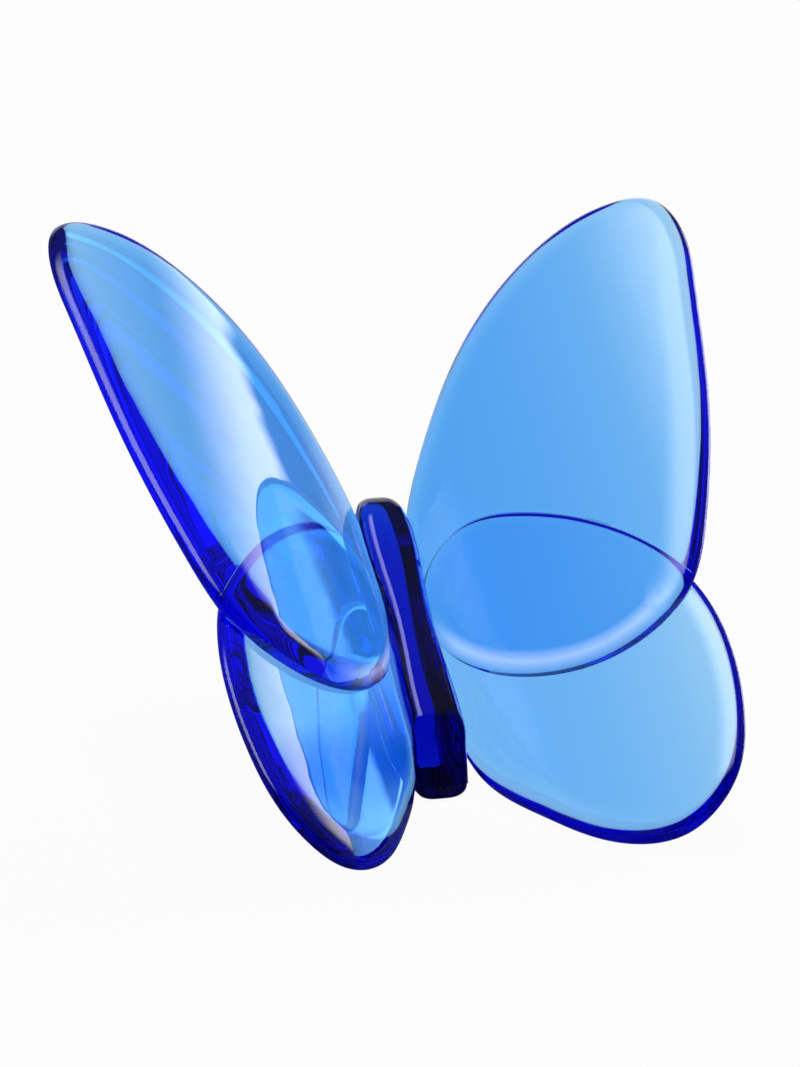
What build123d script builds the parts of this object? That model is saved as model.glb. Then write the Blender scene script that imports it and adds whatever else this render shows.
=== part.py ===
from build123d import *
from math import cos, radians, sin, sqrt
import os

# Butterfly ornament: a solid crystal body with two forewings and two hindwings raised in a wide V.
# The butterfly faces the viewer at -Y, tail on the floor and head up and back. +X is the viewer's right.
# The hinge line runs up the middle of the body, from the tail to the head, and the wings spread from it.

# Attitude of the figure
HINGE_TILT = 36.4        # the hinge line's rise from the floor, in degrees
WING_OPEN = 43.9         # each wing's lean away from the upright middle plane, in degrees

# Forewing
FORE_REACH = 45.5        # hinge line to the outermost edge
FORE_SPAN = 62.2         # along the hinge line, from the tail's contact up to the wing tip
FORE_INNER_R = 64.0      # the wing flares outwards: bend of the face towards the other wing
FORE_OUTER_R = 84.0      # bend of the outer face, slacker, so the glass thins towards the tip
FORE_INNER_TOP = 2.75    # inner face above the wing plane, at the crown
FORE_OUTER_TOP = -1.55   # outer face, at the crown

# Hindwing
HIND_REACH = 35.3        # hinge line to the outermost edge
HIND_SPAN = 49.1         # along the hinge line, foot of the lobe to the top of the wing
HIND_INNER_R = 60.0
HIND_OUTER_R = 100.0
HIND_INNER_TOP = 1.5     # lower than the forewing's inner face, so the forewing stands proud of it
HIND_OUTER_TOP = -2.5

# Both wings
WING_CROWN = 14.5        # hinge line to the crown, where the wing is thickest
RIM_ROUND = 0.95         # rounding of the wing's edge
RIM_WALL_SHARE = 0.45    # the most that the rounding takes of the glass at the thinnest edge, from each face
LAP_BEND_R = 70.0        # the lap face between forewing and hindwing
LAP_SET = 0.05

# Body
BODY_LENGTH = 39.0       # along the hinge line, from the tail's contact to the head
BODY_WIDTH = 6.0
BODY_RISE = 7.2          # back of the body above the hinge line, at the thorax
BODY_SINK = 8.6          # belly of the body below the hinge line, above the flat that it stands on
BODY_ROUND = 1.4         # rounding along the body's back and belly
TAIL_SLOPE = 15.0        # the tail's end face leans back from upright, in degrees
TAIL_ROUND = 0.8         # softened edge around the tail's end face

# Foot
FOOT_GRIND = 0.12        # ground off the lowest part of the hindwings, so that they stand on small flats

# Outlines, as shares of the reach and of the span, counted from the hinge line and the tail's contact
FORE_OUTLINE_SHARES = [
    (0.102, 0.542), (0.221, 0.684), (0.392, 0.829), (0.632, 0.952), (0.840, 0.999),
    (0.960, 0.984), (1.004, 0.907), (0.987, 0.755), (0.921, 0.482), (0.829, 0.254),
    (0.720, 0.114), (0.543, 0.063), (0.346, 0.100), (0.165, 0.212), (0.078, 0.354),
]
HIND_OUTLINE_SHARES = [
    (1.000, 0.000), (0.972, -0.173), (0.880, -0.321), (0.708, -0.388), (0.518, -0.341),
    (0.290, -0.173), (0.117, 0.016), (0.072, 0.201), (0.095, 0.442), (0.173, 0.574),
    (0.312, 0.618), (0.543, 0.558), (0.785, 0.408), (0.945, 0.228),
]

# Body seen from the side: up the back to the head, then down the belly, as shares of length, rise and sink
BACK_SHARES = [(-0.35, 0.70), (0.08, 0.73), (0.40, 0.80), (0.66, 0.92), (0.84, 1.00), (0.95, 0.90)]
HEAD_SHARE = (1.00, 0.36)
BELLY_SHARES = [(0.94, 0.22), (0.81, 0.50), (0.57, 0.76), (0.26, 1.00), (-0.35, 1.03)]
# Body seen from above the back: half of the outline, tail to head, as shares of length and width
FLANK_SHARES = [
    (-0.35, 0.475), (0.05, 0.485), (0.26, 0.510), (0.52, 0.435), (0.78, 0.510), (0.93, 0.410), (1.02, 0.200),
]

# Directions
hinge = Vector(0, cos(radians(HINGE_TILT)), sin(radians(HINGE_TILT)))
rise = Vector(0, -sin(radians(HINGE_TILT)), cos(radians(HINGE_TILT)))
side = Vector(1, 0, 0)
outward = side * sin(radians(WING_OPEN)) + rise * cos(radians(WING_OPEN))
inward = rise * sin(radians(WING_OPEN)) - side * cos(radians(WING_OPEN))
wing_plane = Plane(origin=(0, 0, 0), x_dir=outward, z_dir=inward)

# A working size that clears the whole figure
CLEAR = FORE_REACH + FORE_SPAN + BODY_LENGTH


def bend_roller(radius, top):
    # A roller lying along the hinge direction, whose highest line is at the crown of the wing
    roller = Cylinder(radius, CLEAR + CLEAR, rotation=(90, 0, 0))
    return wing_plane * Pos(WING_CROWN, 0, top - radius) * roller


def face_height(radius, top, out):
    # Height of a bent face above the wing plane, so far out from the hinge line
    return top - radius + sqrt(radius ** 2 - (out - WING_CROWN) ** 2)


def glass_wing(shares, reach, span, inner_r, inner_top, outer_r, outer_top):
    # One wing by itself: an outline, bent between two rollers, thinner towards a rounded edge
    points = [(u * reach, v * span) for u, v in shares]
    outline = make_face(Spline(points, periodic=True))
    prism = wing_plane * Pos(0, 0, -CLEAR) * extrude(outline, CLEAR + CLEAR)
    slab = (prism & bend_roller(inner_r, inner_top)) - bend_roller(outer_r, outer_top)
    slab = slab.solids().sort_by(SortBy.VOLUME)[-1]
    rims = [edge for edge in slab.edges() if edge.length > reach]
    walls = [face_height(inner_r, inner_top, out) - face_height(outer_r, outer_top, out) for out, _ in points]
    return fillet(rims, min(RIM_ROUND, RIM_WALL_SHARE * min(walls)))


def body_bar():
    # The bar of the body, from ahead of the tail up to the head: the side view meets the view from above
    back = [(along * BODY_LENGTH, high * BODY_RISE) for along, high in BACK_SHARES]
    head = (HEAD_SHARE[0] * BODY_LENGTH, HEAD_SHARE[1] * BODY_RISE)
    belly = [(along * BODY_LENGTH, -deep * BODY_SINK) for along, deep in BELLY_SHARES]
    side_plane = Plane(origin=(0, 0, 0), x_dir=hinge, z_dir=side)
    side_curve = Spline(back + [head] + belly)
    side_view = make_face([side_curve, Line(belly[-1], back[0])])
    right_flank = [(along * BODY_LENGTH, wide * BODY_WIDTH) for along, wide in FLANK_SHARES]
    left_flank = [(along, -wide) for along, wide in right_flank]
    top_plane = Plane(origin=(0, 0, 0), x_dir=hinge, z_dir=rise)
    top_view = make_face([
        Spline(right_flank), Spline(left_flank),
        Line(right_flank[0], left_flank[0]), Line(right_flank[-1], left_flank[-1]),
    ])
    bar = extrude(side_plane * side_view, BODY_WIDTH, both=True)
    bar = bar & extrude(top_plane * top_view, BODY_RISE + BODY_SINK, both=True)
    long_edges = [edge for edge in bar.edges() if edge.length > BODY_LENGTH]
    return fillet(long_edges, BODY_ROUND)


fore = glass_wing(
    FORE_OUTLINE_SHARES, FORE_REACH, FORE_SPAN,
    FORE_INNER_R, FORE_INNER_TOP, FORE_OUTER_R, FORE_OUTER_TOP,
)
hind = glass_wing(
    HIND_OUTLINE_SHARES, HIND_REACH, HIND_SPAN,
    HIND_INNER_R, HIND_INNER_TOP, HIND_OUTER_R, HIND_OUTER_TOP,
)
bar = body_bar()

# The wings lap over each other by half: the forewing lies on the inner side, the hindwing on the outer side
lap_roller = bend_roller(LAP_BEND_R, LAP_SET)
fore_half = fore - (hind & lap_roller)
hind_half = hind - (fore - lap_roller)


def seated(wing):
    # The wing's root seats against the flank of the body
    return (wing - bar).solids().sort_by(SortBy.VOLUME)[-1]


right_fore = seated(fore_half)
left_fore = seated(mirror(fore_half, about=Plane.YZ))
right_hind = seated(hind_half)
left_hind = seated(mirror(hind_half, about=Plane.YZ))

# The figure stands on its belly and on the lowest part of both hindwings, ground flat together
floor_z = right_hind.bounding_box().min.Z + FOOT_GRIND
ground = Plane(origin=(0, 0, floor_z))
right_hind = split(right_hind, bisect_by=ground, keep=Keep.TOP)
left_hind = split(left_hind, bisect_by=ground, keep=Keep.TOP)

# The tail's end face and the ground belly
tail_front = Vector(0, -cos(radians(TAIL_SLOPE)), sin(radians(TAIL_SLOPE)))
tail_plane = Plane(origin=(0, 0, 0), x_dir=side, z_dir=tail_front)
body = split(bar, bisect_by=tail_plane, keep=Keep.BOTTOM)
body = split(body, bisect_by=ground, keep=Keep.TOP)
tail_face = body.faces().filter_by(GeomType.PLANE).sort_by(Axis((0, 0, 0), tail_front))[-1]
soft_edges = [edge for edge in tail_face.edges() if edge.center().Z > floor_z + TAIL_ROUND / 2]
body = fillet(soft_edges, TAIL_ROUND)

pieces = {
    "body": body,
    "left_forewing": left_fore,
    "right_forewing": right_fore,
    "left_hindwing": left_hind,
    "right_hindwing": right_hind,
}

# The origin sits on the floor, at the middle of the whole figure
boxes = [piece.bounding_box() for piece in pieces.values()]
front_y = min(box.min.Y for box in boxes)
back_y = max(box.max.Y for box in boxes)
place = Location((0, -(front_y + back_y) / 2, -floor_z))

os.makedirs("parts", exist_ok=True)
for name, piece in pieces.items():
    export_step(place * piece, os.path.join("parts", name + ".step"))
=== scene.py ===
# %% [markdown]
# # A blue crystal butterfly
# The ornament is one solid lump of cobalt-blue crystal: a thick body with two forewings and two hindwings.
# It could be sculpted by hand, or the CAD solids could simply be painted. Here each piece is made again as
# a fine, smooth mesh of the same size, because clear glass shows every facet, and the CAD solids stay as
# the frame.

# %% Load the frame
import bpy
import numpy as np
from math import cos, pi, radians, sin, tan
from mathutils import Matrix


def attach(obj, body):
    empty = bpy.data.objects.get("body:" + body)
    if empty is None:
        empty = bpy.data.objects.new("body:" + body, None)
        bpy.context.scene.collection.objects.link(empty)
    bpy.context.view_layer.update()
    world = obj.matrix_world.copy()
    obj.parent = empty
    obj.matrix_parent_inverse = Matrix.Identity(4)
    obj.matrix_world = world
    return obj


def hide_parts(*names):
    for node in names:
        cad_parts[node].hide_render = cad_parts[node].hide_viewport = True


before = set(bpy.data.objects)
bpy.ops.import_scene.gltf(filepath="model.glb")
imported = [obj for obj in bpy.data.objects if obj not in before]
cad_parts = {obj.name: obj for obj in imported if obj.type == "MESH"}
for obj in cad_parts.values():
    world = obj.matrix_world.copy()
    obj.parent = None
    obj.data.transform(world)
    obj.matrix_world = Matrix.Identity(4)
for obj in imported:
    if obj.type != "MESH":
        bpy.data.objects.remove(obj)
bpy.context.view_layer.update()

print("frame nodes:", sorted(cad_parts))

# %% [markdown]
# ## The attitude of the figure
# The wings spread from a hinge line that climbs from the tail to the head. Every shape below is drawn in
# millimetres on that line: s runs along it, and rise points up out of the butterfly's back. One small
# function then carries a point into the frame, in metres. Drawing straight in the frame would hide the
# simple outlines in slanted numbers.

# %% Hinge line and wing plane
hinge_tilt = radians(36.4)
wing_open = radians(43.9)
hinge = np.array([0, cos(hinge_tilt), sin(hinge_tilt)])
rise = np.array([0, -sin(hinge_tilt), cos(hinge_tilt)])
side = np.array([1.0, 0, 0])
outward = side * sin(wing_open) + rise * cos(wing_open)
inward = rise * sin(wing_open) - side * cos(wing_open)
tail_in_frame = np.array([0, -4.977, 0.521])
metres = 0.001


def into_frame(points):
    return (points + tail_in_frame) * metres


print("hinge line climbs", round(float(hinge[2]), 3), "for each millimetre")

# %% [markdown]
# ## A smooth closed line
# A wing's edge is one easy, closed curve. A chain of arcs would show a kink in the glass at every joint, so
# the line is a spline whose bend never jumps, through a few given points, and then stepped off in equal
# paces.

# %% Spline helper
steps_between_knots = 80


def smooth_line(points, closed, paces):
    knots = np.array(points, float)
    count = len(knots)
    spans = count if closed else count - 1
    chord = np.array([np.linalg.norm(knots[(i + 1) % count] - knots[i]) for i in range(spans)])
    slope = np.array([(knots[(i + 1) % count] - knots[i]) / chord[i] for i in range(spans)])
    system, known = np.zeros((count, count)), np.zeros((count, 2))
    for i in range(count):
        if not closed and i in (0, count - 1):
            system[i, i] = 1
            continue
        system[i, i - 1] += chord[i - 1]
        system[i, i] += 2 * (chord[i - 1] + chord[i])
        system[i, (i + 1) % count] += chord[i]
        known[i] = 6 * (slope[i] - slope[i - 1])
    bend = np.linalg.solve(system, known)
    fine = []
    for i in range(spans):
        j, h = (i + 1) % count, chord[i]
        t = np.linspace(0, h, steps_between_knots, endpoint=False)[:, None]
        fine.append((bend[i] * (h - t) ** 3 + bend[j] * t ** 3) / (6 * h)
                    + (knots[i] / h - bend[i] * h / 6) * (h - t) + (knots[j] / h - bend[j] * h / 6) * t)
    fine = np.vstack(fine + [knots[:1] if closed else knots[-1:]])
    walked = np.concatenate([[0], np.cumsum(np.linalg.norm(np.diff(fine, axis=0), axis=1))])
    stops = np.linspace(0, walked[-1], paces, endpoint=not closed)
    return np.stack([np.interp(stops, walked, fine[:, axis]) for axis in (0, 1)], axis=1)


print("splines take", steps_between_knots, "steps between two points")

# %% [markdown]
# ## The wings
# On the real ornament a wing is a leaf of glass about four millimetres thick, bent so that its tip flares
# outwards, and thinner towards its edge. It could be a flat shape with modifiers for thickness, bend and
# bevel, but their seams would show in clear glass. So each face is part of a roller of its own radius, and
# the outline is given in shares of the wing's reach and span.

# %% Wing sizes and outlines
wing_crown = 14.5
edge_paces = 300
forewing = {
    "reach": 45.5, "span": 62.2, "inner": (64.0, 2.72), "outer": (84.0, -1.55),
    "outline": [(0.102, 0.542), (0.221, 0.684), (0.392, 0.829), (0.632, 0.952), (0.840, 0.998),
                (0.960, 0.983), (1.001, 0.907), (0.986, 0.755), (0.921, 0.482), (0.829, 0.254),
                (0.720, 0.114), (0.543, 0.063), (0.346, 0.100), (0.165, 0.212), (0.078, 0.354)],
}
hindwing = {
    "reach": 35.3, "span": 49.1, "inner": (60.0, 0.9), "outer": (100.0, -2.5),
    "outline": [(1.000, 0.000), (0.972, -0.173), (0.880, -0.321), (0.708, -0.388), (0.518, -0.341),
                (0.290, -0.173), (0.117, 0.016), (0.072, 0.201), (0.095, 0.442), (0.173, 0.574),
                (0.312, 0.618), (0.543, 0.558), (0.785, 0.408), (0.945, 0.228)],
}
for wing in (forewing, hindwing):
    points = [(u * wing["reach"], v * wing["span"]) for u, v in wing["outline"]]
    line = smooth_line(points, True, edge_paces)
    along = np.roll(line, -1, axis=0) - np.roll(line, 1, axis=0)
    across = np.stack([along[:, 1], -along[:, 0]], axis=1) / np.linalg.norm(along, axis=1)[:, None]
    middle = line.mean(axis=0)
    if ((line - middle) * across).sum() < 0:
        across = -across
    wing.update(line=line, across=across, middle=middle)
    print("wing edge is", round(float(np.linalg.norm(along, axis=1).sum() / 2), 1), "mm long")

# %% Face heights and distance from the edge
far_off, tiny = 1e9, 1e-9


def wing_faces(wing, u):
    # Middle of the glass and half its thickness, so far out from the hinge line
    inner, outer = (top - bend + np.sqrt(bend ** 2 - (u - wing_crown) ** 2)
                    for bend, top in (wing["inner"], wing["outer"]))
    return (inner + outer) / 2, (inner - outer) / 2


def inset_in_wing(wing, place):
    # How far inside the outline each place lies, and which outline point is nearest
    gaps = np.full(len(place), far_off)
    within, near = np.zeros(len(place), bool), np.zeros(len(place), int)
    for i, (a, b) in enumerate(zip(wing["line"], np.roll(wing["line"], -1, axis=0))):
        run = b - a
        share = np.clip(((place - a) @ run) / (run @ run), 0, 1)
        gap = np.linalg.norm(place - a - share[:, None] * run, axis=1)
        near = np.where(gap < gaps, i, near)
        gaps = np.minimum(gaps, gap)
        crosses = (a[1] > place[:, 1]) != (b[1] > place[:, 1])
        climb = run[1] if run[1] else tiny
        within ^= crosses & (place[:, 0] < a[0] + (place[:, 1] - a[1]) * run[0] / climb)
    return np.where(within, gaps, -gaps), near


print("forewing glass at the crown:", round(float(2 * wing_faces(forewing, wing_crown)[1]), 2), "mm")

# %% [markdown]
# ## Rounded edges, ledge and lap
# The fire rounds a wing's edge over several millimetres, less where the outline bends tightly and along the
# leading edge. Where the forewing lies on the hindwing it ends in a narrow ledge, and the hindwing's lapped
# edge is rounded tightly, which shows through the forewing as a dark arc. A bevel modifier has one width all
# round, so here every point of the edge gets its own.

# %% Width of the rounding along each edge
edge_share, edge_bend, bend_reach = 2.8, 0.6, 12
leading_way, leading_blend, leading_cut = (-0.6, 0.8), 0.6, 0.65
least_turn = 1e-6


def with_neighbours(values, reach):
    # The values at each edge point together with those of its neighbours
    return [np.roll(values, i) for i in range(-reach, reach + 1)]


for wing in (forewing, hindwing):
    step = np.roll(wing["line"], -1, axis=0) - wing["line"]
    heading = np.arctan2(step[:, 1], step[:, 0])
    turn = np.angle(np.exp(1j * np.diff(heading, prepend=heading[-1])))
    bend = np.linalg.norm(step, axis=1) / np.maximum(np.abs(turn), least_turn)
    bend = np.min(with_neighbours(bend, bend_reach), axis=0)
    deep = np.minimum(edge_share * wing_faces(wing, wing["line"][:, 0])[1], edge_bend * bend)
    deep = deep * (1 - leading_cut * np.clip(wing["across"] @ leading_way / leading_blend, 0, 1))
    wing["deep"] = np.mean(with_neighbours(deep, bend_reach), axis=0)
    low, high = round(float(wing["deep"].min()), 1), round(float(wing["deep"].max()), 1)
    print("edge is rounded over", low, "to", high, "mm")

# %% Ledge of the forewing, lapped edge of the hindwing
ledge_width, ledge_share, ledge_power, ledge_blend = 2.4, 0.5, 1.3, 5
lap_round, lap_reach = 1.5, 8
overlap = np.clip(inset_in_wing(hindwing, forewing["line"])[0] / ledge_blend, 0, 1)
forewing["ledge"] = overlap ** 2 * (3 - 2 * overlap)
hindwing["ledge"] = np.zeros(edge_paces)
lapped = np.clip(inset_in_wing(forewing, hindwing["line"])[0] / lap_round, 0, 1)
lapped = np.mean(with_neighbours(lapped, lap_reach), axis=0)
tighter = np.minimum(lap_round, hindwing["deep"])
hindwing["deep"] = hindwing["deep"] + (tighter - hindwing["deep"]) * lapped
print(int((forewing["ledge"] > 0).sum()), "of", edge_paces, "forewing edge points lie on the hindwing")

# %% Shape of the edge, depth in the glass
rim_sliver = 1e-6


def edge_shape(deep, ledge, t):
    # The rounded edge from the rim, t = 0, to the flat face, t = 1: its depth and its height
    depth = deep * (1 - ledge) + ledge_width * ledge
    height = np.sqrt(1 - (1 - t) ** 2)
    return depth, height + (1 - ledge_share * (1 - t) ** ledge_power - height) * ledge * (t > 0)


def depth_in_wing(wing, points):
    # How deep a point lies inside the wing's glass, in millimetres. Outside it is negative
    u, v, z = points @ outward, points @ hinge, points @ inward
    inset, near = inset_in_wing(wing, np.stack([u, v], axis=1))
    mid, half = wing_faces(wing, u)
    ledge, deep = np.where(z > mid, wing["ledge"][near], 0), wing["deep"][near]
    depth, _ = edge_shape(deep, ledge, 1)
    _, height = edge_shape(deep, ledge, np.clip(inset / depth, rim_sliver, 1))
    return np.where(inset > 0, half * height - np.abs(z - mid), inset)


print("half-way in, a rounded edge has", round(float(edge_shape(1, 0, 0.5)[1]), 2), "of its full height")

# %% [markdown]
# ## From outline to mesh
# A leaf of glass has no seams, and a grid laid over it would leave a ragged edge. So the leaf is laid out in
# rings that follow the outline: from the middle of one face, over the rounded edge, to the middle of the
# other face. The body is made of rings too, so one function turns rings into a closed mesh for both.

# %% Lay a wing out in rings
rim_rings, face_rings = 13, 25


def wing_points(place, z):
    return np.outer(place[:, 0], outward) + np.outer(place[:, 1], hinge) + np.outer(z, inward)


def wing_rings(wing, grow):
    sheets, poles = {}, {}
    for face in (1, -1):
        ledge = (wing["ledge"] if face > 0 else 0 * wing["ledge"])[:, None]
        rings = []
        for turn in np.linspace(0, pi / 2, rim_rings):
            depth, height = edge_shape(wing["deep"][:, None], ledge, 1 - cos(turn))
            rings.append((wing["line"] + wing["across"] * (grow - depth * (1 - cos(turn))), height[:, 0]))
        inmost = rings[-1][0]
        for share in np.linspace(0, 1, face_rings)[1:-1]:
            rings.append((inmost + (wing["middle"] - inmost) * share, 1.0))
        sheets[face] = []
        for place, height in (rings if face > 0 else rings[1:]):
            mid, half = wing_faces(wing, place[:, 0])
            sheets[face].append(wing_points(place, mid + face * (half + grow) * height))
        mid, half = wing_faces(wing, wing["middle"][:1])
        poles[face] = wing_points(wing["middle"][None], mid + face * (half + grow))[0]
    return [poles[1]] + sheets[1][::-1] + sheets[-1] + [poles[-1]]


fore_rings, hind_rings = wing_rings(forewing, 0), wing_rings(hindwing, 0)
print("each wing is laid out in", len(fore_rings), "rings")


# %% Turn rings into a mesh
def mesh_from_rings(name, rings):
    points, starts = [], []
    for ring in rings:
        starts.append(len(points))
        points.extend(np.atleast_2d(ring))
    faces, count = [], len(rings[1])
    last = len(rings) - 1
    for i in range(count):
        j = (i + 1) % count
        faces.append((starts[0], starts[1] + i, starts[1] + j))
        faces.append((starts[last], starts[last - 1] + j, starts[last - 1] + i))
        for k in range(1, last - 1):
            faces.append((starts[k] + i, starts[k + 1] + i, starts[k + 1] + j, starts[k] + j))
    mesh = bpy.data.meshes.new(name)
    mesh.from_pydata(into_frame(np.array(points)).tolist(), [], faces)
    thing = bpy.data.objects.new(name, mesh)
    bpy.context.scene.collection.objects.link(thing)
    corners = np.array([v.co for v in mesh.vertices])
    mesh.calc_loop_triangles()
    tri = np.array([t.vertices for t in mesh.loop_triangles])
    a, b, c = corners[tri[:, 0]], corners[tri[:, 1]], corners[tri[:, 2]]
    if (a * np.cross(b, c)).sum() < 0:
        mesh.flip_normals()
    return thing


fore_full = mesh_from_rings("forewing_blank", fore_rings)
hind_full = mesh_from_rings("hindwing_blank", hind_rings)
print("wing blanks have", len(fore_full.data.polygons), "and", len(hind_full.data.polygons), "faces")

# %% [markdown]
# ## The body
# The body is a thick bar with a flat, slightly waisted back, a rounder belly, a rounded head and a blunt
# tail that faces the viewer. Here each section across the bar is a rounded rectangle, and the sections
# follow one line for the back and belly and another for the flanks.

# %% Body lines
body_length, body_width, body_rise, body_sink = 39.0, 6.0, 7.2, 8.6
corner_round, belly_round, tail_round, tail_slope = 1.4, 2.6, 1.0, radians(15)
back_shares = [(-0.35, 0.70), (0.08, 0.73), (0.40, 0.80), (0.66, 0.92), (0.84, 1.00), (0.95, 0.90)]
head_share = 0.36
belly_shares = [(0.94, 0.22), (0.81, 0.50), (0.57, 0.76), (0.26, 1.00), (-0.35, 1.03)]
flank_shares = [(-0.35, 0.475), (0.05, 0.485), (0.26, 0.510), (0.52, 0.435),
                (0.78, 0.510), (0.93, 0.410), (1.02, 0.200)]
profile_paces, flank_paces = 2400, 400
profile = [(s * body_length, m * body_rise) for s, m in back_shares]
profile.append((body_length, head_share * body_rise))
profile += [(s * body_length, -m * body_sink) for s, m in belly_shares]
profile = smooth_line(profile, False, profile_paces)
head_at = int(profile[:, 0].argmax())
head_s = float(profile[head_at, 0])
back_line, belly_line = profile[:head_at + 1], profile[head_at:][::-1]
flank_line = smooth_line([(s * body_length, w * body_width) for s, w in flank_shares], False, flank_paces)
print("the head ends", round(head_s, 2), "mm up the hinge line")

# %% One section across the body
flat_steps, corner_steps, flank_steps = 5, 10, 16
belly_end = flat_steps + corner_steps
flank_end = belly_end + flank_steps
back_start = flank_end + corner_steps
half_around = back_start + flat_steps
around = 2 * half_around
most_of_width, low_most_of_width, most_of_height = 0.9, 0.93, 0.49


def body_section(s, inset):
    # Points around the body at the places s, one column for each point of the section
    back = np.interp(s, back_line[:, 0], back_line[:, 1]) - inset
    belly = np.interp(s, belly_line[:, 0], belly_line[:, 1]) + inset
    wide = np.interp(s, flank_line[:, 0], flank_line[:, 1]) - inset
    ahead = np.clip(1 - (head_s - s) / corner_round, 0, 1)
    wide = wide - corner_round * (1 - np.sqrt(1 - ahead ** 2))
    room = most_of_height * (back - belly)
    top_r = np.minimum(np.minimum(corner_round, most_of_width * wide), room)
    low_r = np.minimum(np.minimum(belly_round, low_most_of_width * wide), room)
    x, m = np.empty_like(s), np.empty_like(s)
    for column in range(around):
        half = column if column <= half_around else around - column
        sign = 1 if column <= half_around else -1
        r, l, w, b, t = (a[:, column] for a in (top_r, low_r, wide, belly, back))
        if half < flat_steps:
            px, pm = (w - l) * half / flat_steps, b
        elif half <= belly_end:
            turn = (half - flat_steps) / corner_steps * pi / 2
            px, pm = w - l + l * sin(turn), b + l - l * cos(turn)
        elif half < flank_end:
            px, pm = w, b + l + (t - b - r - l) * (half - belly_end) / flank_steps
        elif half <= back_start:
            turn = (half - flank_end) / corner_steps * pi / 2
            px, pm = w - r + r * cos(turn), t - r + r * sin(turn)
        else:
            px, pm = (w - r) * (half_around - half) / flat_steps, t
        x[:, column], m[:, column] = sign * px, pm
    return x, m


print("a section across the body has", around, "points")

# %% Body rings from tail to head
tail_lean = tan(hinge_tilt + tail_slope)
waist, head_gap, seat_start = 14.0, 0.004, -13.0
head_rings, tail_round_rings, tail_rings, seat_rings = 60, 8, 16, 60
first_guess, settling = 4.0, 30
cap_shares = (0.2, 0.4, 0.6, 0.8, 0.93)
near_middle = 0.5


def body_rings(grow, seat_only):
    # The finished body, or a longer bar without a tail that cuts the wings' seats
    heads = waist + (head_s - head_gap - waist) * np.sin(np.linspace(0, 1, head_rings)[1:] * pi / 2)
    if seat_only:
        first = [(0.0, 0.0, True)] + [(0.0, share, False) for share in np.linspace(0, 1, seat_rings)[1:]]
    else:
        turns = np.linspace(0, pi / 2, tail_round_rings)
        first = [(tail_round * (1 - sin(turn)), tail_round * (1 - cos(turn)), True) for turn in turns]
        first += [(0.0, share, False) for share in np.linspace(0, 1, tail_rings)[1:]]
    rings = []
    for inset, step, near_tail in first:
        s = np.full((1, around), first_guess)
        for _ in range(settling):
            x, m = body_section(s, np.full((1, around), inset))
            start = np.full_like(m, seat_start) if seat_only else tail_lean * m
            edge = start if seat_only else start + tail_round
            s = start + step if near_tail else edge + (waist - edge) * step
        rings.append((s[0], x[0], m[0]))
    for value in heads:
        s = np.full((1, around), value)
        x, m = body_section(s, np.zeros((1, around)))
        rings.append((s[0], x[0], m[0]))
    solid = []
    for s, x, m in rings:
        centre = (m.max() + m.min()) / 2
        x, m = x + grow * np.sign(x) * (np.abs(x) > near_middle), m + grow * np.sign(m - centre)
        solid.append(np.outer(s, hinge) + np.outer(m, rise) + np.outer(x, side))
    tail_middle, head_middle = solid[0].mean(axis=0), solid[-1].mean(axis=0)
    cap = [tail_middle + (solid[0] - tail_middle) * share for share in cap_shares]
    return [tail_middle] + cap + solid + [head_middle]


hair = 0.02
body_full = mesh_from_rings("body_blank", body_rings(0.0, False))
seat = mesh_from_rings("seat_cutter", body_rings(hair, True))
print("body blank has", len(body_full.data.polygons), "faces")

# %% [markdown]
# ## Fitting the pieces together
# Each piece is a closed lump of glass that meets its neighbours without overlapping them. Modelling those
# seats by hand would be slow, so Boolean cuts do it: the body's flank is cut from each wing root, and the
# two wings halve each other where they lap, forewing on the inner side. A hair of space is left, so that
# light passes from piece to piece in a clear order.


# %% Boolean helper
def cut(target, tool, how):
    change = target.modifiers.new("cut", "BOOLEAN")
    change.operation, change.object, change.solver = how, tool, "MANIFOLD"
    shaped = bpy.data.meshes.new_from_object(target.evaluated_get(bpy.context.evaluated_depsgraph_get()))
    target.modifiers.clear()
    target.data = shaped
    return target


print("cuts leave", hair, "mm between neighbours")

# %% Tools for the lap
lap_bend, lap_set = 70.0, 0.05
lap_out, lap_along, lap_depth = np.linspace(-30, 70, 101), np.linspace(-60, 100, 3), 30


def lap_block(towards, start):
    # Everything on one side of the lap face: 1 for the inner side, -1 for the outer side
    lap = lap_set + start - lap_bend + np.sqrt(lap_bend ** 2 - (lap_out - wing_crown) ** 2)
    near, far = np.stack([lap_out, lap], 1), np.stack([lap_out, lap + towards * lap_depth], 1)
    strip = np.concatenate([near, far[::-1]])
    rings = [np.outer(strip[:, 0], outward) + v * hinge + np.outer(strip[:, 1], inward) for v in lap_along]
    return mesh_from_rings("lap_block", [rings[0].mean(axis=0)] + rings + [rings[-1].mean(axis=0)])


inner_lap, outer_lap = lap_block(1, 0.0), lap_block(-1, hair)
fore_tool = cut(mesh_from_rings("fore_tool", wing_rings(forewing, hair)), inner_lap, "INTERSECT")
hind_tool = cut(mesh_from_rings("hind_tool", wing_rings(hindwing, hair)), outer_lap, "INTERSECT")
print("lap tools have", len(fore_tool.data.polygons), "and", len(hind_tool.data.polygons), "faces")

# %% [markdown]
# ## Standing on the floor
# The real figure has to be flat underneath to stand: its belly and the lowest part of both hindwings rest
# at one level. Moving points by hand would leave dents, so two blocks do the grinding: one takes away what
# lies below the floor, and one keeps the body inside a foot with rounded lower edges.

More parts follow.
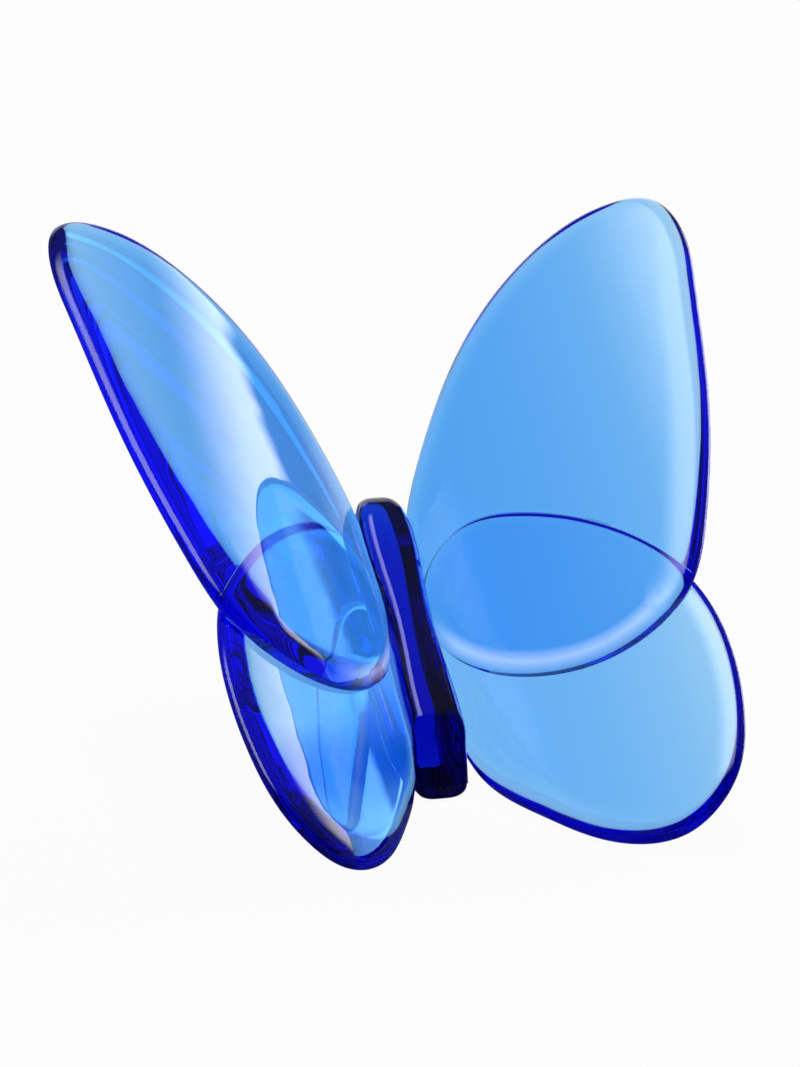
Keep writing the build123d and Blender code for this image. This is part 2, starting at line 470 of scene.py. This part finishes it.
# %% Floor block and foot block
floor_reach, floor_depth, floor_point = 80.0, 50.0, 60.0
square = [(-floor_reach, -floor_reach), (floor_reach, -floor_reach),
          (floor_reach, floor_reach), (-floor_reach, floor_reach)]
floor_block = mesh_from_rings("floor_block", [
    np.array([0, 0, -floor_point]) - tail_in_frame,
    *[np.array([(x, y, z) for x, y in square]) - tail_in_frame for z in (-floor_depth, 0.0)],
    np.array([0, 0, 0.0]) - tail_in_frame,
])
foot_round, foot_half, foot_front, foot_corner = 1.7, 2.86, -5.1, 1.0
foot_clear, foot_top = 60.0, 90.0
round_turns, corner_turns = np.linspace(0, pi / 2, 9), np.linspace(0, pi / 2, 8)
foot = []
for z in np.append(foot_round * (1 - np.cos(round_turns)), [foot_round + hair, foot_top]):
    tuck = foot_round - np.sqrt(foot_round ** 2 - (foot_round - min(z, foot_round)) ** 2)
    far = foot_clear if z > foot_round else 0.0
    x, y = foot_half - tuck + far, foot_front + z * tan(tail_slope) * (far == 0) + tuck - far
    in_x, in_y = x - foot_corner, y + foot_corner
    plan = [(in_x + foot_corner * sin(a), in_y - foot_corner * cos(a)) for a in corner_turns]
    plan += [(x, foot_clear + far), (-x, foot_clear + far)]
    plan += [(-in_x - foot_corner * cos(a), in_y - foot_corner * sin(a)) for a in corner_turns]
    foot.append(np.array([(px, py, z) for px, py in plan]) - tail_in_frame)
foot_block = mesh_from_rings("foot_block", [foot[0].mean(axis=0)] + foot + [foot[-1].mean(axis=0)])
print("foot is", round(2 * foot_half, 2), "mm wide")

# %% Cut the right wings and the body
cut(fore_full, hind_tool, "DIFFERENCE")
cut(hind_full, fore_tool, "DIFFERENCE")
for blank in (fore_full, hind_full):
    cut(blank, seat, "DIFFERENCE")
cut(hind_full, floor_block, "DIFFERENCE")
cut(body_full, foot_block, "INTERSECT")
for tool in (seat, fore_tool, hind_tool, inner_lap, outer_lap, floor_block, foot_block):
    bpy.data.objects.remove(tool)
print("cut pieces have", [len(o.data.polygons) for o in (fore_full, hind_full, body_full)], "faces")

# %% [markdown]
# ## Marking the seams
# In the real ornament the pieces are fused, so light doesn't bend where they meet. A separate material for
# those faces would break the tint of the glass, which needs one material all round a piece. So each corner
# carries a number called seam: above zero where the face lies against a neighbour. The glass reads it, and
# bends no light there. A second number marks the middle of the forewing's ledge, where a glow is painted.

# %% Seam and ledge numbers
touching, sunk_by, lap_slack, tail_slack, floor_slack = 1.5 * hair, 0.05, 0.1, 0.4, 0.01


def mark_seams(piece, own, others):
    mesh = piece.data
    places = np.array([v.co for v in mesh.vertices]) / metres - tail_in_frame
    places[:, 0] = np.abs(places[:, 0])
    buried = np.max([depth_in_wing(wing, places) for wing in others], axis=0) + touching
    loops = np.array([loop.vertex_index for loop in mesh.loops])
    values = np.clip(buried[loops], -1, 1)
    seam = mesh.attributes.new("seam", "FLOAT", "CORNER")
    if own is not None:
        centres = np.array([face.center for face in mesh.polygons]) / metres - tail_in_frame
        sunk = depth_in_wing(own, centres) > sunk_by
        lapped = np.max([depth_in_wing(wing, centres) for wing in others], axis=0) > -lap_slack
        behind_tail = centres[:, 1] > centres[:, 2] * tan(tail_slope) + tail_slack
        on_floor = centres[:, 2] + tail_in_frame[2] < floor_slack
        for face, seamed in zip(mesh.polygons, sunk & (lapped | behind_tail) & ~on_floor):
            if seamed:
                values[face.loop_start:face.loop_start + face.loop_total] = 1.0
    seam.data.foreach_set("value", values)
    # Painted glow: this number marks the band of the forewing's ledge where a faint white glow is painted
    ledge_painted_glow = mesh.attributes.new("ledge_painted_glow", "FLOAT", "POINT")
    if own is not None:
        inset, near = inset_in_wing(own, np.stack([places @ outward, places @ hinge], axis=1))
        height = places @ inward - wing_faces(own, places @ outward)[0]
        band = np.clip(1 - np.abs(2 * inset / ledge_width - 1), 0, 1) * own["ledge"][near] * (height > 0)
        ledge_painted_glow.data.foreach_set("value", band)
    print(piece.name, "has", int((values > 0).sum()), "seam corners of", len(values))


mark_seams(fore_full, forewing, [hindwing])
mark_seams(hind_full, hindwing, [forewing])
mark_seams(body_full, None, [forewing, hindwing])

# %% [markdown]
# ## Two sides from one
# The left wings mirror the right ones. A mirror modifier would join both sides into one object, so each left
# wing gets its own mirrored copy of the finished mesh, turned right side out again. The left ledge is in
# shade further out, so its painted glow is kept to the part near the body.

# %% Five finished pieces
left_glow_end, left_glow_fade = 14, 6
crease = radians(25)


def mirrored(piece, name):
    mesh = piece.data.copy()
    for vertex in mesh.vertices:
        vertex.co.x = -vertex.co.x
    mesh.flip_normals()
    # Fade the painted ledge glow on the left copy away from the body
    out = -np.array([v.co for v in mesh.vertices])[:, 0] / metres
    light = np.empty(len(out))
    ledge_painted_glow = mesh.attributes["ledge_painted_glow"].data
    ledge_painted_glow.foreach_get("value", light)
    ledge_painted_glow.foreach_set("value", light * np.clip((left_glow_end - out) / left_glow_fade, 0, 1))
    copy = bpy.data.objects.new(name, mesh)
    bpy.context.scene.collection.objects.link(copy)
    return copy


body_full.name = "body_crystal"
fore_full.name, hind_full.name = "right_forewing_crystal", "right_hindwing_crystal"
pieces = {
    "body": body_full,
    "right_forewing": fore_full,
    "right_hindwing": hind_full,
    "left_forewing": mirrored(fore_full, "left_forewing_crystal"),
    "left_hindwing": mirrored(hind_full, "left_hindwing_crystal"),
}
for node, piece in pieces.items():
    piece.data.name = piece.name
    piece.data.polygons.foreach_set("use_smooth", [True] * len(piece.data.polygons))
    piece.data.set_sharp_from_angle(angle=crease)
    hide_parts(node)
    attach(piece, "root")
print("finished pieces:", sorted(pieces))

# %% [markdown]
# ## The crystal
# The colour is not on the surface: white light turns blue on its way through, so thin places are sky blue
# and thick ones are navy. Painting the surface blue would lose that, so the surface is clear and the volume
# absorbs red and some green. A faint noise in the normal stands for the ripples of pressed glass.

# %% Node helper
white = (1, 1, 1, 1)


def number(tree, operation, first, second=0.0):
    # A math node that takes plain numbers or the outputs of other nodes
    node = tree.nodes.new("ShaderNodeMath")
    node.operation = operation
    for socket, value in zip(node.inputs, (first, second)):
        if isinstance(value, float):
            socket.default_value = value
        else:
            tree.links.new(value, socket)
    return node.outputs[0]


def new_node(tree, kind, **settings):
    # A node whose named inputs are set to plain values
    node = tree.nodes.new(kind)
    for socket, value in settings.items():
        node.inputs[socket.replace("_", " ")].default_value = value
    return node


crystal = bpy.data.materials.new("cobalt_crystal")
crystal.use_nodes = True
tree = crystal.node_tree
print("a new material starts with", len(tree.nodes), "nodes")

# %% Clear surface, blue volume
wing_tint, wing_density = (0.0, 0.61, 0.984, 1), 490.0
glass_bend, seam_bend = 1.55, 1.0
glass, out = tree.nodes["Principled BSDF"], tree.nodes["Material Output"]
glass.inputs["Base Color"].default_value = white
glass.inputs["Transmission Weight"].default_value = 1.0
glass.inputs["Roughness"].default_value = 0.0
glass.inputs["IOR"].default_value = glass_bend
tint = new_node(tree, "ShaderNodeVolumeAbsorption", Color=wing_tint, Density=wing_density)
tree.links.new(tint.outputs["Volume"], out.inputs["Volume"])
seam_value = tree.nodes.new("ShaderNodeAttribute")
seam_value.attribute_name = "seam"
bending = new_node(tree, "ShaderNodeMapRange", To_Min=glass_bend, To_Max=seam_bend)
tree.links.new(number(tree, "GREATER_THAN", seam_value.outputs["Fac"], 0.0), bending.inputs["Value"])
tree.links.new(bending.outputs["Result"], glass.inputs["IOR"])
print("crystal absorbs red over about", round(1 / (wing_density * metres), 1), "mm")

# %% Ripples of the pressed glass
ripple_scale, ripple_detail, ripple_strength, ripple_depth = 130.0, 1.0, 0.15, 0.3
swirl = new_node(tree, "ShaderNodeTexNoise", Scale=ripple_scale, Detail=ripple_detail)
place = tree.nodes.new("ShaderNodeTexCoord")
tree.links.new(place.outputs["Object"], swirl.inputs["Vector"])
waves = new_node(tree, "ShaderNodeBump", Strength=ripple_strength, Distance=ripple_depth * metres)
tree.links.new(swirl.outputs["Fac"], waves.inputs["Height"])
tree.links.new(waves.outputs["Normal"], glass.inputs["Normal"])
print("ripples are about", round(1 / (ripple_scale * metres), 1), "mm across")

# %% [markdown]
# ## Painted ledge glow and painted body shade
# On the real ornament the ledge looks pale and the body navy. With one tint everywhere the body came out too
# bright here, and the ledge too dark. More lamps would change the wings as well, so two are painted: a faint
# white glow on the ledge, and shade as a denser tint for the body, though the real figure is one glass.

# %% Painted ledge glow, painted body shade by a denser tint
# Strength of the painted white glow on the ledge
painted_glow_strength = 0.3
# Painted shade: the body's denser tint makes it darker than the same glass would be
body_shade_tint, body_shade_density = (0.0, 0.61, 0.945, 1), 1000.0
# Painted glow: the ledge number drives a faint white emission on the glass
glow_band = tree.nodes.new("ShaderNodeAttribute")
glow_band.attribute_name = "ledge_painted_glow"
glass.inputs["Emission Color"].default_value = white
painted_glow = number(tree, "MULTIPLY", glow_band.outputs["Fac"], painted_glow_strength)
tree.links.new(painted_glow, glass.inputs["Emission Strength"])
# Painted shade: the body gets a copy of the glass with a denser tint, so it looks darker
shaded_body_glass = crystal.copy()
shaded_body_glass.name = "cobalt_crystal_painted_shade"
shaded_body_glass.node_tree.nodes[tint.name].inputs["Color"].default_value = body_shade_tint
shaded_body_glass.node_tree.nodes[tint.name].inputs["Density"].default_value = body_shade_density
for node, piece in pieces.items():
    piece.data.materials.clear()
    piece.data.materials.append(shaded_body_glass if node == "body" else crystal)
print("the core is", round(body_shade_density / wing_density, 1), "times as dense as the wings")

# %% [markdown]
# ## The floor
# The figure stands on a plain white sweep. A white plane alone would turn out grey, so it shines white where
# it is looked at, straight or through the glass. Mirror reflections see it dark grey, a painted shade as if
# black card lay there. Light that has crossed the glass colours the floor under the figure. Tracing that
# takes very many samples, so a blue shadow is painted on the floor there, seen only through the glass.

# %% White floor
floor_half, floor_gap = 3, 0.05
paper_white, reflection_shade_grey, paper_rough = (0.9, 0.9, 0.9, 1), (0.1, 0.1, 0.1, 1), 0.9
low = -floor_gap * metres
floor_mesh = bpy.data.meshes.new("floor")
floor_mesh.from_pydata([(-floor_half, -floor_half, low), (floor_half, -floor_half, low),
                        (floor_half, floor_half, low), (-floor_half, floor_half, low)], [], [(0, 1, 2, 3)])
floor = bpy.data.objects.new("floor", floor_mesh)
bpy.context.scene.collection.objects.link(floor)
paper = bpy.data.materials.new("white_paper")
paper.use_nodes = True
floor.data.materials.append(paper)
tree = paper.node_tree
sheet = tree.nodes["Principled BSDF"]
sheet.inputs["Roughness"].default_value = paper_rough
path = tree.nodes.new("ShaderNodeLightPath")
# Painted shade: mirror reflections see the floor dark grey
reflection_shade_mix = new_node(tree, "ShaderNodeMixRGB", Color1=paper_white, Color2=reflection_shade_grey)
tree.links.new(path.outputs["Is Glossy Ray"], reflection_shade_mix.inputs["Fac"])
tree.links.new(reflection_shade_mix.outputs["Color"], sheet.inputs["Base Color"])
print("white floor", 2 * floor_half, "m wide")

# %% Painted blue shadow under the figure
# Painted shadow: seen through the glass, the floor near the figure turns blue and fades out further away
painted_shadow_blue, painted_shadow_squeeze, painted_shadow_start, painted_shadow_end = (0.05, 0.3, 0.9, 1), (3, 1, 1), 0.015, 0.04
seen_white = 0.95
spot = tree.nodes.new("ShaderNodeTexCoord")
under = new_node(tree, "ShaderNodeMapping", Scale=painted_shadow_squeeze)
tree.links.new(spot.outputs["Object"], under.inputs["Vector"])
away = tree.nodes.new("ShaderNodeVectorMath")
away.operation = "LENGTH"
tree.links.new(under.outputs["Vector"], away.inputs[0])
painted_shadow = new_node(tree, "ShaderNodeMapRange", From_Min=painted_shadow_end, From_Max=painted_shadow_start)
tree.links.new(away.outputs["Value"], painted_shadow.inputs["Value"])
through_glass = path.outputs["Is Transmission Ray"]
painted_shadow_colour = new_node(tree, "ShaderNodeMixRGB", Color1=white, Color2=painted_shadow_blue)
tree.links.new(number(tree, "MULTIPLY", through_glass, painted_shadow.outputs["Result"]), painted_shadow_colour.inputs["Fac"])
shine = tree.nodes.new("ShaderNodeEmission")
tree.links.new(painted_shadow_colour.outputs["Color"], shine.inputs["Color"])
straight = number(tree, "MULTIPLY", path.outputs["Is Camera Ray"], seen_white)
blend = tree.nodes.new("ShaderNodeMixShader")
tree.links.new(number(tree, "MAXIMUM", straight, through_glass), blend.inputs[0])
tree.links.new(sheet.outputs[0], blend.inputs[1])
tree.links.new(shine.outputs[0], blend.inputs[2])
tree.links.new(blend.outputs[0], tree.nodes["Material Output"].inputs["Surface"])
print("pool fades out", round(1000 * painted_shadow_end), "mm in front of and behind the middle")

# %% [markdown]
# ## The light
# Glass shows what stands around it: here a white backdrop, a soft box on the right and another overhead, in
# a dim room that is darkest behind the camera. Area lamps could do it, each with a place, a size and an aim.
# Here the world itself holds the bright patches, set by direction alone, so a few short functions make them.

# %% World helpers
world = bpy.data.worlds.new("studio")
world.use_nodes = True
bpy.context.scene.world = world
tree = world.node_tree


def fade(value, start, end):
    node = new_node(tree, "ShaderNodeMapRange", From_Min=start, From_Max=end)
    node.interpolation_type = "SMOOTHSTEP"
    tree.links.new(value, node.inputs["Value"])
    return node.outputs["Result"]


def falling(value, start, end):
    return number(tree, "SUBTRACT", 1.0, fade(value, start, end))


def times(first, second):
    return number(tree, "MULTIPLY", first, second)


aim = tree.nodes.new("ShaderNodeTexCoord")
parts = tree.nodes.new("ShaderNodeSeparateXYZ")
tree.links.new(aim.outputs["Generated"], parts.inputs[0])
x_way, y_way, z_way = (parts.outputs[axis] for axis in "XYZ")
turned = number(tree, "ARCTAN2", x_way, y_way)
raised = number(tree, "ARCSINE", z_way)


def patch(left, right, low, high, soft, crisp):
    # A bright field whose left border fades over crisp degrees and the other borders over soft degrees
    across = times(fade(turned, radians(left - crisp), radians(left)),
                   falling(turned, radians(right), radians(right + soft)))
    upright = times(fade(raised, radians(low - soft), radians(low)),
                    falling(raised, radians(high), radians(high + soft)))
    return times(across, upright)


print("world is lit by direction")

# %% Backdrop and soft boxes
room_light, room_shade = 0.12, 0.1
backdrop_light, side_light, top_light = 0.8, 4.7, 3.8
shade_border, top_low_border = (0.2, 0.7), (0.8, 0.9)
top_left_border, top_right_border, top_back_border = (-0.42, -0.1), (0.1, 0.2), (0.05, 0.2)
behind_camera = fade(times(y_way, -1.0), *shade_border)
light = number(tree, "SUBTRACT", room_light, times(behind_camera, room_shade))
overhead = times(fade(x_way, *top_left_border), falling(x_way, *top_right_border))
overhead = times(overhead, falling(y_way, *top_back_border))
overhead = times(overhead, fade(z_way, *top_low_border))
for strength, area in (
    (backdrop_light, patch(left=-16, right=42, low=-90, high=40, soft=8, crisp=8)),
    (side_light, patch(left=55, right=80, low=4, high=23, soft=14, crisp=2)),
    (top_light, overhead),
):
    light = number(tree, "ADD", light, times(area, strength))
tree.links.new(light, tree.nodes["Background"].inputs["Strength"])
tree.nodes["Background"].inputs["Color"].default_value = white
print("white backdrop, soft boxes on the right and overhead, dark room behind the camera")

# %% [markdown]
# ## The camera
# The figure is seen from a little left of its middle and a little above, through a long lens, as for product
# photos. A wide lens close by would swell the nearer wing. Light crosses many faces inside the glass before
# it gets out, so many bounces are allowed, or the thick edges would turn black.

# %% Camera and bounces
look_at = np.array([0, 17.27, 25.19]) + tail_in_frame
azimuth, elevation, distance = radians(-16.17), radians(13.38), 422.57
bounces = 160
back = np.array([sin(azimuth) * cos(elevation), -cos(azimuth) * cos(elevation), sin(elevation)])
lens = bpy.data.cameras.new("camera")
lens.sensor_fit, lens.sensor_height, lens.lens = "VERTICAL", 36.0, 129.61
lens.clip_start, lens.clip_end = 0.01, 20
camera = bpy.data.objects.new("camera", lens)
bpy.context.scene.collection.objects.link(camera)
camera.location = (look_at + back * distance) * metres
camera.rotation_euler = (pi / 2 - elevation, 0, azimuth)
bpy.context.scene.camera = camera
bpy.context.scene.view_settings.view_transform = "Standard"
cycles = bpy.context.scene.cycles
cycles.max_bounces = cycles.transmission_bounces = bounces
cycles.glossy_bounces = cycles.transparent_max_bounces = bounces
print("camera stands", round(distance), "mm away")
